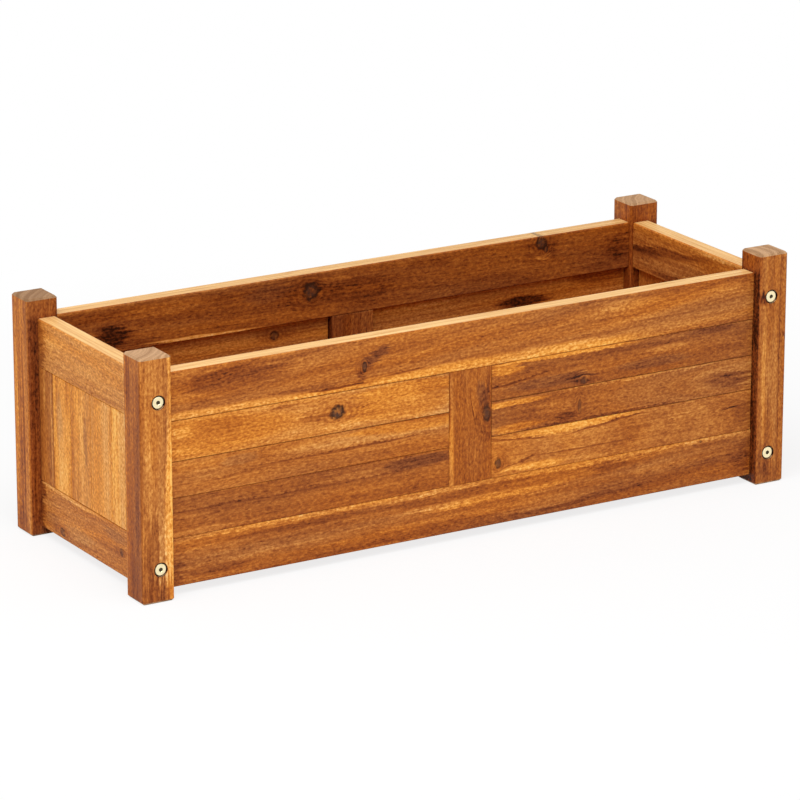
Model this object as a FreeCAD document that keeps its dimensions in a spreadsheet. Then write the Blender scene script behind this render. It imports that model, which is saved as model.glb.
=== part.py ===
"""Oiled hardwood floor planter: four square posts, framed walls of tongued boards, and a slatted floor.

Millimetres. The origin is on the ground under the middle of the planter: X runs along the length, Y from
the front wall to the back wall, and Z up. The two long walls are glued frames: rails with stub tenons in the
posts, and a centre stile and boards in grooves. Each end wall is a pair of rails bolted through the posts
into threaded inserts, with upright boards held in grooves between rails and posts. The floor's slats lie in
shallow housings of two bearers, with gaps that let water out.
"""

import FreeCAD, Part
import os
import Sketcher

SIZES = {
    # the whole planter
    "length": 760,
    "depth": 276,
    "height": 250,
    # posts
    "post": 35,
    "post_round": 3,
    "post_ease": 2,
    "post_rise": 21,
    # rails and centre stiles
    "foot_gap": 9,
    "rail_height": 50,
    "rail_thick": 20,
    "rail_ease": 1.2,
    "long_set_back": 11,
    "end_set_back": 12,
    "stile_width": 50,
    # stub tenons of the long rails
    "tenon_thick": 10,
    "tenon_tall": 34,
    "tenon_reach": 9,
    "tenon_slack": 0.15,
    "mortise_room": 1,
    # tongued boards and their grooves
    "board_thick": 12,
    "seam_ease": 0.6,
    "tongue_inset": 4,
    "tongue_thick": 4,
    "tongue_reach": 6,
    "groove_room": 1,
    "groove_slack": 0.15,
    # bolts through the posts and the threaded inserts in the end rails
    "bolt_inset": 20,
    "bolt_width": 6,
    "bolt_slack": 0.3,
    "bolt_tip_room": 2.4,
    "head_width": 13,
    "head_thick": 2.4,
    "head_sink": 0.2,
    "head_gap": 0.6,
    "socket_width": 4,
    "socket_depth": 1.6,
    "insert_width": 10,
    "insert_length": 15,
    "insert_slack": 0.15,
    # floor
    "bearer_lift": 3,
    "bearer_tall": 20,
    "bearer_thick": 20,
    "bearer_slack": 1,
    "housing_depth": 3,
    "housing_slack": 0.25,
    "slat_count": 9,
    "slat_gap": 10,
    "slat_thick": 10,
    "slat_slack": 1.5,
    "slat_ease": 1,
}

# Heights and lengths that several pieces share.
PANEL_LOW = "(size.foot_gap + size.rail_height)"
PANEL_HIGH = "(size.height - size.post_rise - size.rail_height)"
PANEL_TALL = f"({PANEL_HIGH} - {PANEL_LOW})"
RAIL_LOW = {"top": PANEL_HIGH, "bottom": "size.foot_gap"}
RAIL_MIDDLE = {name: f"({low} + size.rail_height / 2)" for name, low in RAIL_LOW.items()}
LONG_SPAN = "(size.length - 2 * size.post)"
END_SPAN = "(size.depth - 2 * size.post)"
LONG_BOARD = "((size.length - size.stile_width) / 2 - size.post)"

# The groove that takes a tongue, measured from the outer face of the wall.
GROOVE_DEPTH = "(size.tongue_reach + size.groove_room)"
GROOVE_OUTER = "(size.tongue_inset - size.groove_slack)"
GROOVE_WIDE = "(size.tongue_thick + 2 * size.groove_slack)"
GROOVE_INNER = f"({GROOVE_OUTER} + {GROOVE_WIDE})"
TONGUE_INNER = "(size.tongue_inset + size.tongue_thick)"

# How the boards share out each panel, lowest first in the long walls and left to right in the end walls, seen
# from outside. The boards are of random widths, as sawn from the log.
LEVELS = ("low", "middle", "top")
PANEL_SHARES = {"left": (0.343, 0.31, 0.347), "right": (0.368, 0.31, 0.322)}
END_SHARES = (0.146, 0.184, 0.214, 0.218, 0.238)
PANEL_BOARDS = {
    side: [f"({PANEL_TALL} * {share / sum(shares)})" for share in shares]
    for side, shares in PANEL_SHARES.items()
}
END_BOARDS = [f"({END_SPAN} * {share / sum(END_SHARES)})" for share in END_SHARES]

# Bolts: the seat under the head, and a shank that ends inside the threaded insert.
HEAD_SEAT = "(size.head_thick + size.head_sink)"
BOLT_HOLE = "(size.bolt_width + 2 * size.bolt_slack)"
BOLT_REACH = f"(size.post - {HEAD_SEAT} + size.insert_length - size.bolt_tip_room)"
BOLT_IN_RAIL = "(size.bolt_inset - size.end_set_back)"

# Floor: bearers along the long walls, and slats across them in shallow housings.
BEARER_LOW = "(size.foot_gap + size.bearer_lift)"
BEARER_LENGTH = f"({LONG_SPAN} - 2 * size.bearer_slack)"
LONG_WALL_INNER = "(size.long_set_back + size.rail_thick)"
SLAT_WIDTH = f"(({BEARER_LENGTH} + size.slat_gap) / size.slat_count - size.slat_gap)"
SLAT_PITCH = f"({SLAT_WIDTH} + size.slat_gap)"
SLAT_LENGTH = f"(size.depth - 2 * {LONG_WALL_INNER} - 2 * size.slat_slack)"

# Each wall has its own frame: along it from its left post seen from outside, inward from the posts' outer
# faces, and up. A row holds the corner, and the X and Y steps of along and of inward.
WALLS = {
    "front": (("-size.length / 2", "-size.depth / 2"), (1, 0), (0, 1)),
    "right": (("size.length / 2", "-size.depth / 2"), (0, 1), (-1, 0)),
    "back": (("size.length / 2", "size.depth / 2"), (-1, 0), (0, -1)),
    "left": (("-size.length / 2", "size.depth / 2"), (0, -1), (1, 0)),
}
LONG_WALLS = ("front", "back")
END_WALLS = ("left", "right")
UPRIGHT = FreeCAD.Rotation(FreeCAD.Vector(0, 1, 0), -90)
POINTING_IN = FreeCAD.Rotation(FreeCAD.Vector(1, 0, 0), -90)
AS_DRAWN = FreeCAD.Rotation()

NEAR = 1e-4

doc = FreeCAD.newDocument("wooden_planter")
sheet = doc.addObject("Spreadsheet::Sheet", "size")
for row, (name, value) in enumerate(SIZES.items(), start=1):
    sheet.set(f"A{row}", name)
    sheet.set(f"B{row}", str(value))
    sheet.setAlias(f"B{row}", name)
doc.recompute()

pieces = []


def number(expression):
    """The present value of an expression in the named sizes."""
    return float(sheet.evalExpression(expression))


def place(item, wall, along, inward, up, own_turn=AS_DRAWN):
    """Puts an item into a wall's frame, its position bound to the named sizes."""
    corner, along_step, inward_step = WALLS[wall]
    directions = [FreeCAD.Vector(*step, 0) for step in (along_step, inward_step)]
    item.Placement.Rotation = FreeCAD.Rotation(*directions, FreeCAD.Vector(0, 0, 1), "ZXY") * own_turn
    for axis, start, step, cross_step in zip("xy", corner, along_step, inward_step):
        position = f"{start} + {step} * ({along}) + {cross_step} * ({inward})"
        item.setExpression(f"Placement.Base.{axis}", position)
    item.setExpression("Placement.Base.z", up)


def new_body(label):
    """An empty body for one wooden piece."""
    body = doc.addObject("PartDesign::Body", label)
    body.Label = label
    pieces.append(body)
    return body


def sketch_on(body, plane, offset="0"):
    """A sketch on one of the body's own planes, moved along the plane's normal."""
    sketch = body.newObject("Sketcher::SketchObject", f"{body.Name}_sketch")
    support = next(feature for feature in body.Origin.OriginFeatures if feature.Role == plane)
    sketch.AttachmentSupport = (support, [""])
    sketch.MapMode = "FlatFace"
    sketch.setExpression("AttachmentOffset.Base.z", offset)
    return sketch


def hold(sketch, constraint, expression):
    """Adds a dimension to a sketch and binds it to an expression."""
    index = sketch.addConstraint(constraint)
    sketch.setExpression(f"Constraints[{index}]", expression)


def outline(sketch, corners):
    """Draws a closed outline whose corners are pairs of expressions."""
    spots = [(number(across), number(up)) for across, up in corners]
    first = sketch.GeometryCount
    count = len(corners)
    for start, end in zip(spots, spots[1:] + spots[:1]):
        sketch.addGeometry(Part.LineSegment(FreeCAD.Vector(*start, 0), FreeCAD.Vector(*end, 0)), False)
    for step in range(count):
        following = first + (step + 1) % count
        sketch.addConstraint(Sketcher.Constraint("Coincident", first + step, 2, following, 1))
    for step, ((across, up), (x, y)) in enumerate(zip(corners, spots)):
        hold(sketch, Sketcher.Constraint("DistanceX", -1, 1, first + step, 1, x), across)
        hold(sketch, Sketcher.Constraint("DistanceY", -1, 1, first + step, 1, y), up)


def rectangle(sketch, left, low, wide, tall):
    """Draws a rectangle from its corner and its two sides."""
    right = f"{left} + {wide}"
    high = f"{low} + {tall}"
    outline(sketch, [(left, low), (right, low), (right, high), (left, high)])


def circle(sketch, across, up, width):
    """Draws a circle from its centre and its diameter."""
    x, y, diameter = number(across), number(up), number(width)
    normal = FreeCAD.Vector(0, 0, 1)
    ring = sketch.addGeometry(Part.Circle(FreeCAD.Vector(x, y, 0), normal, diameter / 2), False)
    hold(sketch, Sketcher.Constraint("DistanceX", -1, 1, ring, 3, x), across)
    hold(sketch, Sketcher.Constraint("DistanceY", -1, 1, ring, 3, y), up)
    hold(sketch, Sketcher.Constraint("Diameter", ring, diameter), width)


def pad(body, sketch, length):
    """Raises a sketch along its plane's normal."""
    feature = body.newObject("PartDesign::Pad", f"{body.Name}_pad")
    feature.Profile = sketch
    feature.setExpression("Length", length)


def pocket(body, sketch, depth, along_normal=False):
    """Cuts a sketch into the body, against its plane's normal unless told otherwise."""
    feature = body.newObject("PartDesign::Pocket", f"{body.Name}_pocket")
    feature.Profile = sketch
    feature.Reversed = along_normal
    feature.setExpression("Length", depth)


def lies_at(edge, axis, position):
    """Whether the whole edge lies at one position along an axis."""
    box = edge.BoundBox
    low, high = getattr(box, f"{axis}Min"), getattr(box, f"{axis}Max")
    return abs(low - position) < NEAR and abs(high - position) < NEAR


def dress(body, kind, amount, wanted):
    """Rounds ("Fillet") or bevels ("Chamfer") those edges of the body that the test picks."""
    doc.recompute()
    base = body.Tip
    edges = [f"Edge{index}" for index, edge in enumerate(base.Shape.Edges, start=1) if wanted(edge)]
    feature = body.newObject(f"PartDesign::{kind}", f"{body.Name}_{kind.lower()}")
    feature.Base = (base, edges)
    feature.setExpression({"Fillet": "Radius", "Chamfer": "Size"}[kind], amount)


def bevel_faces(body, thickness):
    """Bevels the rims of a piece's outer and inner faces, which makes the fine seams between the pieces."""
    inner = number(thickness)
    dress(body, "Chamfer", "size.seam_ease", lambda edge: lies_at(edge, "Y", 0) or lies_at(edge, "Y", inner))


def post(label, wall, at_left):
    """A square post with rounded edges, mortised for the long rails, grooved for both panels and bolted."""
    body = new_body(label)
    blank = sketch_on(body, "XY_Plane")
    rectangle(blank, "0", "0", "size.post", "size.post")
    pad(body, blank, "size.height")
    dress(body, "Fillet", "size.post_round", lambda edge: edge.BoundBox.ZLength > number("size.height / 2"))
    top = number("size.height")
    dress(body, "Chamfer", "size.post_ease", lambda edge: lies_at(edge, "Z", 0) or lies_at(edge, "Z", top))

    def across(start, wide):
        """A feature's near edge along the wall, counted from the post's outer side."""
        return start if at_left else f"(size.post - {start} - {wide})"

    groove_low = f"({PANEL_LOW} - {GROOVE_DEPTH})"
    groove_tall = f"({PANEL_TALL} + 2 * {GROOVE_DEPTH})"
    inner_side = "size.post" if at_left else "0"

    mortises = sketch_on(body, "YZ_Plane", inner_side)
    for low in RAIL_LOW.values():
        rectangle(
            mortises,
            "(size.long_set_back + (size.rail_thick - size.tenon_thick) / 2 - size.tenon_slack)",
            f"({low} + (size.rail_height - size.tenon_tall) / 2 - size.tenon_slack)",
            "(size.tenon_thick + 2 * size.tenon_slack)",
            "(size.tenon_tall + 2 * size.tenon_slack)",
        )
    pocket(body, mortises, "size.tenon_reach + size.mortise_room", along_normal=not at_left)

    long_groove = sketch_on(body, "YZ_Plane", inner_side)
    rectangle(long_groove, f"(size.long_set_back + {GROOVE_OUTER})", groove_low, GROOVE_WIDE, groove_tall)
    pocket(body, long_groove, GROOVE_DEPTH, along_normal=not at_left)

    end_groove = sketch_on(body, "XZ_Plane", "-size.post")
    groove_start = across(f"(size.end_set_back + {GROOVE_OUTER})", GROOVE_WIDE)
    rectangle(end_groove, groove_start, groove_low, GROOVE_WIDE, groove_tall)
    pocket(body, end_groove, GROOVE_DEPTH, along_normal=True)

    for width, depth in ((BOLT_HOLE, "size.post"), ("size.head_width + 2 * size.head_gap", HEAD_SEAT)):
        holes = sketch_on(body, "XZ_Plane")
        for middle in RAIL_MIDDLE.values():
            circle(holes, across("size.bolt_inset", "0"), middle, width)
        pocket(body, holes, depth)
    place(body, wall, "0" if at_left else "size.length - size.post", "0", "0")


def rail_blank(label, span, level):
    """A rail's moulding: a rectangle with a groove towards the panel, its free edges eased."""
    body = new_body(label)
    if level == "top":
        lip, free, bottom = "0", "size.rail_height", GROOVE_DEPTH
    else:
        lip, free, bottom = "size.rail_height", "0", f"(size.rail_height - {GROOVE_DEPTH})"
    section = sketch_on(body, "YZ_Plane")
    outline(
        section,
        [
            ("0", free),
            ("0", lip),
            (GROOVE_OUTER, lip),
            (GROOVE_OUTER, bottom),
            (GROOVE_INNER, bottom),
            (GROOVE_INNER, lip),
            ("size.rail_thick", lip),
            ("size.rail_thick", free),
        ],
    )
    pad(body, section, span)
    thick, lip_up, free_up = number("size.rail_thick"), number(lip), number(free)

    def on_faces(edge):
        return lies_at(edge, "Y", 0) or lies_at(edge, "Y", thick)

    dress(body, "Chamfer", "size.rail_ease", lambda edge: on_faces(edge) and lies_at(edge, "Z", free_up))
    dress(body, "Chamfer", "size.seam_ease", lambda edge: on_faces(edge) and lies_at(edge, "Z", lip_up))
    return body


def long_rail(wall, level):
    """A rail of a long wall, with a stub tenon at each end."""
    body = rail_blank(f"{wall}_{level}_rail", LONG_SPAN, level)
    tenons = sketch_on(body, "YZ_Plane", "-size.tenon_reach")
    rectangle(
        tenons,
        "((size.rail_thick - size.tenon_thick) / 2)",
        "((size.rail_height - size.tenon_tall) / 2)",
        "size.tenon_thick",
        "size.tenon_tall",
    )
    pad(body, tenons, f"{LONG_SPAN} + 2 * size.tenon_reach")
    place(body, wall, "size.post", "size.long_set_back", RAIL_LOW[level])


def end_rail(wall, level):
    """A rail of an end wall, bored at both ends for a threaded insert."""
    body = rail_blank(f"{wall}_end_{level}_rail", END_SPAN, level)
    for offset, along_normal in (("0", True), (END_SPAN, False)):
        hole = sketch_on(body, "YZ_Plane", offset)
        circle(hole, BOLT_IN_RAIL, "size.rail_height / 2", "size.insert_width + 2 * size.insert_slack")
        pocket(body, hole, "size.insert_length", along_normal)
    place(body, wall, "size.post", "size.end_set_back", RAIL_LOW[level])


def stile(wall):
    """The upright in the middle of a long wall, grooved on both sides and tongued into the rails."""
    body = new_body(f"{wall}_centre_stile")
    section = sketch_on(body, "XY_Plane")
    groove_left, groove_right = GROOVE_DEPTH, f"(size.stile_width - {GROOVE_DEPTH})"
    outline(
        section,
        [
            ("0", "0"),
            ("size.stile_width", "0"),
            ("size.stile_width", GROOVE_OUTER),
            (groove_right, GROOVE_OUTER),
            (groove_right, GROOVE_INNER),
            ("size.stile_width", GROOVE_INNER),
            ("size.stile_width", "size.rail_thick"),
            ("0", "size.rail_thick"),
            ("0", GROOVE_INNER),
            (groove_left, GROOVE_INNER),
            (groove_left, GROOVE_OUTER),
            ("0", GROOVE_OUTER),
        ],
    )
    pad(body, section, PANEL_TALL)
    bevel_faces(body, "size.rail_thick")
    tongue = sketch_on(body, "XY_Plane", "-size.tongue_reach")
    tongue_wide = f"({groove_right} - {groove_left})"
    rectangle(tongue, groove_left, "size.tongue_inset", tongue_wide, "size.tongue_thick")
    pad(body, tongue, f"{PANEL_TALL} + 2 * size.tongue_reach")
    place(body, wall, "(size.length - size.stile_width) / 2", "size.long_set_back", PANEL_LOW)


def board(label, length, cover, is_first):
    """A matched board: a tongue on its far edge and both ends, and a groove on its near edge.

    The first board of a panel has a second tongue in place of the groove, for the rail or post beside it.
    """
    body = new_body(label)
    tongue_end = f"({cover} + size.tongue_reach)"
    if is_first:
        near_edge = (("size.tongue_inset", "0"), ("size.tongue_inset", "-size.tongue_reach"),
                     (TONGUE_INNER, "-size.tongue_reach"), (TONGUE_INNER, "0"))
        tongue_start = "-size.tongue_reach"
    else:
        near_edge = ((GROOVE_OUTER, "0"), (GROOVE_OUTER, GROOVE_DEPTH),
                     (GROOVE_INNER, GROOVE_DEPTH), (GROOVE_INNER, "0"))
        tongue_start = GROOVE_DEPTH
    far_edge = ((TONGUE_INNER, cover), (TONGUE_INNER, tongue_end),
                ("size.tongue_inset", tongue_end), ("size.tongue_inset", cover))
    section = sketch_on(body, "YZ_Plane")
    inner_face = (("size.board_thick", "0"), ("size.board_thick", cover))
    outline(section, [("0", "0"), *near_edge, *inner_face, *far_edge, ("0", cover)])
    pad(body, section, length)
    bevel_faces(body, "size.board_thick")
    ends = sketch_on(body, "YZ_Plane", "-size.tongue_reach")
    tongue_tall = f"({tongue_end} - ({tongue_start}))"
    rectangle(ends, "size.tongue_inset", tongue_start, "size.tongue_thick", tongue_tall)
    pad(body, ends, f"{length} + 2 * size.tongue_reach")
    return body


def long_panel(wall, side):
    """The three boards on one side of a long wall's stile, laid from the bottom rail up."""
    along = "size.post" if side == "left" else "(size.length + size.stile_width) / 2"
    up = PANEL_LOW
    for level, cover in zip(LEVELS, PANEL_BOARDS[side]):
        body = board(f"{wall}_{side}_{level}_board", LONG_BOARD, cover, level == LEVELS[0])
        place(body, wall, along, "size.long_set_back", up)
        up = f"{up} + {cover}"


def end_panel(wall):
    """The upright boards of an end wall. Each one's groove faces right, so the last one is laid first."""
    along = "size.post"
    for count, cover in enumerate(END_BOARDS, start=1):
        along = f"{along} + {cover}"
        body = board(f"{wall}_end_board_{count}", PANEL_TALL, cover, count == len(END_BOARDS))
        place(body, wall, along, "size.end_set_back", PANEL_LOW, UPRIGHT)


def slat_places():
    """How far along the bearers each slat starts."""
    return [f"({count} * {SLAT_PITCH})" for count in range(round(number("size.slat_count")))]


def bearer(wall):
    """A batten glued along a long wall's bottom rail, with a shallow housing for each slat's end."""
    body = new_body(f"floor_bearer_{wall}")
    blank = sketch_on(body, "YZ_Plane")
    rectangle(blank, "0", "0", "size.bearer_thick", "size.bearer_tall")
    pad(body, blank, BEARER_LENGTH)
    housings = sketch_on(body, "XZ_Plane")
    for along in slat_places():
        rectangle(
            housings,
            f"({along} - size.housing_slack)",
            "(size.bearer_tall - size.housing_depth)",
            f"({SLAT_WIDTH} + 2 * size.housing_slack)",
            "size.housing_depth",
        )
    pocket(body, housings, "size.bearer_thick")
    place(body, wall, "size.post + size.bearer_slack", LONG_WALL_INNER, BEARER_LOW)


def slat(count, along):
    """A floor slat from bearer to bearer, its upper edges eased."""
    body = new_body(f"floor_slat_{count}")
    blank = sketch_on(body, "XY_Plane")
    rectangle(blank, "0", "0", SLAT_WIDTH, SLAT_LENGTH)
    pad(body, blank, "size.slat_thick")
    top = number("size.slat_thick")
    dress(body, "Chamfer", "size.slat_ease", lambda edge: lies_at(edge, "Z", top))
    start = f"size.post + size.bearer_slack + {along}"
    inward = f"{LONG_WALL_INNER} + size.slat_slack"
    place(body, "front", start, inward, f"{BEARER_LOW} + size.bearer_tall - size.housing_depth")


def cylinder(name, width, height, up="0"):
    """A round bar standing on its end at a height."""
    bar = doc.addObject("Part::Cylinder", name)
    bar.setExpression("Radius", f"{width} / 2")
    bar.setExpression("Height", height)
    bar.setExpression("Placement.Base.z", up)
    return bar


def joined(kind, name, base, tool):
    """The fusion or the cut of two shapes."""
    result = doc.addObject(f"Part::{kind}", name)
    result.Base = base
    result.Tool = tool
    return result


def bolt():
    """A flat-headed furniture bolt with a hexagon socket, its head's underside on the origin's plane."""
    shank = cylinder("bolt_shank", "size.bolt_width", BOLT_REACH)
    head = cylinder("bolt_head", "size.head_width", "size.head_thick", "-size.head_thick")
    socket = doc.addObject("Part::Prism", "bolt_socket")
    socket.Polygon = 6
    socket.setExpression("Circumradius", "size.socket_width / sqrt(3)")
    socket.setExpression("Height", "size.socket_depth")
    socket.setExpression("Placement.Base.z", "-size.head_thick")
    return joined("Cut", "bolt", joined("Fuse", "bolt_blank", shank, head), socket)


def threaded_insert():
    """A sleeve let into the end grain, flush with the end of the rail."""
    sleeve = cylinder("insert_sleeve", "size.insert_width", "size.insert_length")
    bore = cylinder("insert_bore", BOLT_HOLE, "size.insert_length")
    return joined("Cut", "insert", sleeve, bore)


def group(label, fastener, spots):
    """All the fasteners of one kind, as separate solids in one piece."""
    copies = []
    for spot in spots:
        copy = doc.addObject("App::Link", f"{label}_copy")
        copy.LinkedObject = fastener
        place(copy, *spot)
        copies.append(copy)
    compound = doc.addObject("Part::Compound", label)
    compound.Label = label
    compound.Links = copies
    pieces.append(compound)


def bolt_spots(inward):
    """Every place on a post's bolt axes at one distance in from the long walls' outer faces."""
    return [
        (wall, along, inward, middle, POINTING_IN)
        for wall in LONG_WALLS
        for along in ("size.bolt_inset", "size.length - size.bolt_inset")
        for middle in RAIL_MIDDLE.values()
    ]


post("post_front_left", "front", True)
post("post_front_right", "front", False)
post("post_back_right", "back", True)
post("post_back_left", "back", False)
for wall in LONG_WALLS:
    for level in RAIL_LOW:
        long_rail(wall, level)
    stile(wall)
    for side in PANEL_BOARDS:
        long_panel(wall, side)
    bearer(wall)
for wall in END_WALLS:
    for level in RAIL_LOW:
        end_rail(wall, level)
    end_panel(wall)
for count, along in enumerate(slat_places(), start=1):
    slat(count, along)

group("post_bolts", bolt(), bolt_spots(HEAD_SEAT))
group("rail_threaded_inserts", threaded_insert(), bolt_spots("size.post"))
doc.recompute()

for item in doc.Objects:
    if "Invalid" in item.State or "Error" in item.State:
        raise RuntimeError(f"{item.Label} did not build: {item.State}")
    if item.TypeId == "PartDesign::Pocket" and item.Shape.Volume > item.BaseFeature.Shape.Volume - NEAR:
        raise RuntimeError(f"{item.Label} cuts nothing")
for piece in pieces:
    if piece.Shape.isNull() or not piece.Shape.isValid():
        raise RuntimeError(f"{piece.Label} has no valid shape")

os.makedirs("parts", exist_ok=True)
for piece in pieces:
    piece.Shape.exportStep(f"parts/{piece.Label}.step")
print(f"{len(pieces)} pieces, {sum(len(piece.Shape.Solids) for piece in pieces)} solids")
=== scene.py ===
"""Looks of the oiled hardwood planter: figured timber on every piece, plated bolts and soft light."""
import math

import bpy
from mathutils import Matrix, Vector


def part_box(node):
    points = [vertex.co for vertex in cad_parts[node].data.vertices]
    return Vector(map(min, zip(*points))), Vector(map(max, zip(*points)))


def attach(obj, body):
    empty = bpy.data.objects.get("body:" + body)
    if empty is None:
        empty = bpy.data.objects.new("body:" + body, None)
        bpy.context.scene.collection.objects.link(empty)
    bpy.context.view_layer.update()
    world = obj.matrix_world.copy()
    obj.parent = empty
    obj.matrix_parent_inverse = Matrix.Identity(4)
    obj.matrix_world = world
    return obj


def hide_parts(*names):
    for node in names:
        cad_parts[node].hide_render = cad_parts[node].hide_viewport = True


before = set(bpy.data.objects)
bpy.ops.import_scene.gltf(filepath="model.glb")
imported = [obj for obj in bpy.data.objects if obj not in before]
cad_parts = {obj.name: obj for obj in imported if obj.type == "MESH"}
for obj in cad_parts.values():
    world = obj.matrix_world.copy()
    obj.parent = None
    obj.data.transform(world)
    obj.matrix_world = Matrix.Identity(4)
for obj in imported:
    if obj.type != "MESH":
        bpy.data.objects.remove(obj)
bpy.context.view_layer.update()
scene = bpy.context.scene

# Lengths are in millimetres until MM turns them into the frame's metres.
MM = 0.001

# The bolts lie along y through the posts, at x either way and these heights. Their heads are just sunk.
BOLT_ALONG = 360.0
BOLT_HEIGHTS = (34.0, 204.0)
HEAD_FACE = 137.8

# Tones of the timber, from dark heartwood to pale sapwood: a share of the palette and a display colour.
PALETTE = (
    (0.00, (48, 18, 5)),
    (0.10, (86, 38, 14)),
    (0.20, (122, 58, 21)),
    (0.31, (144, 75, 30)),
    (0.43, (169, 94, 36)),
    (0.56, (195, 118, 49)),
    (0.66, (212, 136, 59)),
    (0.76, (229, 155, 73)),
    (0.86, (245, 177, 95)),
    (1.00, (252, 204, 130)),
)
# What the palette is multiplied by, from greyer wood to richer.
GREY_TINT = (0.935, 1.03, 1.42, 1.0)
RICH_TINT = (1.065, 0.97, 0.64, 1.0)
# Display colours of the rest.
KNOT_RIM = (60, 32, 18)
KNOT_CORE = (78, 54, 41)
SEAM_DARK = (84, 40, 16)
END_DARK = (164, 124, 88)
END_LIGHT = (202, 160, 120)
END_STAIN = (70, 36, 14)
# Painted top light and sheen on upper faces, from dim to bright.
TOPLIGHT_DIM = (210, 156, 90)
TOPLIGHT_BRIGHT = (246, 204, 138)
PLATE_LIGHT = (255, 244, 204)
PLATE_DARK = (255, 236, 186)
PLATE_DULL = (240, 209, 152)
# Oil on the bolts, which also paints the shade in their sockets and under their rims.
OIL_AND_PAINTED_SHADE = (46, 32, 22)
ZINC_LIGHT = (206, 204, 198)
ZINC_DARK = (158, 156, 152)
WHITE = (1.0, 1.0, 1.0, 1.0)


def linear(colour):
    """A display colour, from 0 to 255, as the linear colour that shaders use, by the sRGB curve."""
    shares = [part / 255 for part in colour]
    return [s / 12.92 if s <= 0.04045 else ((s + 0.055) / 1.055) ** 2.4 for s in shares] + [1.0]


class Net:
    """A node tree written as plain calls, each of which gives back the output that it made."""

    def __init__(self, tree):
        self.tree = tree

    def feed(self, socket, value):
        """Sets an input to a number or colour, or wires another node's output to it."""
        if isinstance(value, bpy.types.NodeSocket):
            self.tree.links.new(value, socket)
        else:
            socket.default_value = value

    def node(self, kind, *values, named=None, **settings):
        """A node with these settings, and its inputs in order or by name."""
        made = self.tree.nodes.new(kind)
        for key, value in settings.items():
            setattr(made, key, value)
        for socket, value in zip(made.inputs, values):
            self.feed(socket, value)
        for name, value in (named or {}).items():
            self.feed(made.inputs[name], value)
        return made

    def math(self, operation, *values):
        return self.node("ShaderNodeMath", *values, operation=operation).outputs[0]

    def add(self, first, *others):
        for other in others:
            first = self.math("ADD", first, other)
        return first

    def less(self, first, second):
        return self.math("SUBTRACT", first, second)

    def times(self, first, second):
        return self.math("MULTIPLY", first, second)

    def plus_times(self, base, value, factor):
        """base + value * factor"""
        return self.math("MULTIPLY_ADD", value, factor, base)

    def swing(self, base, noise, amount):
        """base, moved up and down by a noise that lies about one half."""
        return self.plus_times(base, self.less(noise, 0.5), amount)

    def smooth(self, value, start, end):
        """Goes from 0 at start to 1 at end, smoothly."""
        limits = (start, end, 0.0, 1.0)
        return self.node("ShaderNodeMapRange", value, *limits, interpolation_type="SMOOTHSTEP").outputs[0]

    def length(self, across, up):
        square = self.plus_times(self.times(across, across), up, up)
        return self.math("SQRT", square)

    def split(self, vector):
        """The parts of a vector by the name of their axis."""
        return dict(zip("xyz", self.node("ShaderNodeSeparateXYZ", vector).outputs))

    def place(self):
        """Where a point of the planter is, in metres, as every piece has its origin in the planter's."""
        return self.split(self.node("ShaderNodeTexCoord").outputs["Object"])

    def noise(self, u, v, w, detail=2.0, roughness=0.5):
        spot = self.node("ShaderNodeCombineXYZ", u, v, w).outputs[0]
        settings = {"Vector": spot, "Scale": 1.0, "Detail": detail, "Roughness": roughness}
        return self.node("ShaderNodeTexNoise", named=settings).outputs[0]

    def blend(self, share, first, second, way="MIX"):
        """A mix of two colours."""
        made = self.node("ShaderNodeMix", data_type="RGBA", blend_type=way)
        for name, value in (("Factor_Float", share), ("A_Color", first), ("B_Color", second)):
            self.feed(next(s for s in made.inputs if s.identifier == name), value)
        return next(s for s in made.outputs if s.identifier == "Result_Color")

    def ramp(self, share, stops):
        """A run of display colours, each at its share."""
        made = self.node("ShaderNodeValToRGB", share)
        points = made.color_ramp.elements
        while len(points) < len(stops):
            points.new(0.5)
        for point, (position, colour) in zip(points, stops):
            point.position = position
            point.color = linear(colour)
        return made.outputs[0]


# Sockets of the shared groups that don't hold a plain number.
SOCKET_KINDS = {"Place": "NodeSocketVector", "Normal": "NodeSocketVector", "Base Color": "NodeSocketColor"}


def shared_group(name, inputs, outputs, fill):
    """A node group. fill gets the net and the group's inputs by name, and gives the outputs in order."""
    tree = bpy.data.node_groups.new(name, "ShaderNodeTree")
    for way, labels in (("INPUT", inputs), ("OUTPUT", outputs)):
        for label in labels:
            kind = SOCKET_KINDS.get(label, "NodeSocketFloat")
            tree.interface.new_socket(label, in_out=way, socket_type=kind)
    net = Net(tree)
    start = tree.nodes.new("NodeGroupInput")
    results = fill(net, {label: start.outputs[label] for label in inputs})
    net.node("NodeGroupOutput", *results)
    return tree


# How often each part of the grain repeats in a metre, along the grain and across it.
WANDER = (2.3, 9.0)
FLUTTER = (19.0, 60.0)
BROAD_BANDS = (0.9, 42.0)
MIDDLE_BANDS = (2.6, 180.0)
FINE_BANDS = (5.0, 800.0)
HUE_BANDS = (3.0, 48.0)
STREAKS = (8.0, 420.0)
FIBRES = (270.0, 470.0)
DASHES = (150.0, 800.0)
# Detail and roughness of the finer noises and of the drift in hue.
CRISP = (1.5, 0.6)
DRIFTING = (2.0, 0.6)
DASH_DETAIL = 1.0
# How far the grain wanders and flutters, and how strong a dash is where a pore starts and where it is full.
WANDER_REACH = 6.0 * MM
FLUTTER_REACH = 5.0 * MM
PORE_RANGE = (0.58, 0.74)
# How far a board's seed moves it in the noises: along u, v and w, over the rings, and for the hue.
SEED_STEPS = (1.71, 0.37, 0.59)
SEED_RINGS = 0.173
SEED_HUE = 4.3


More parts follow.
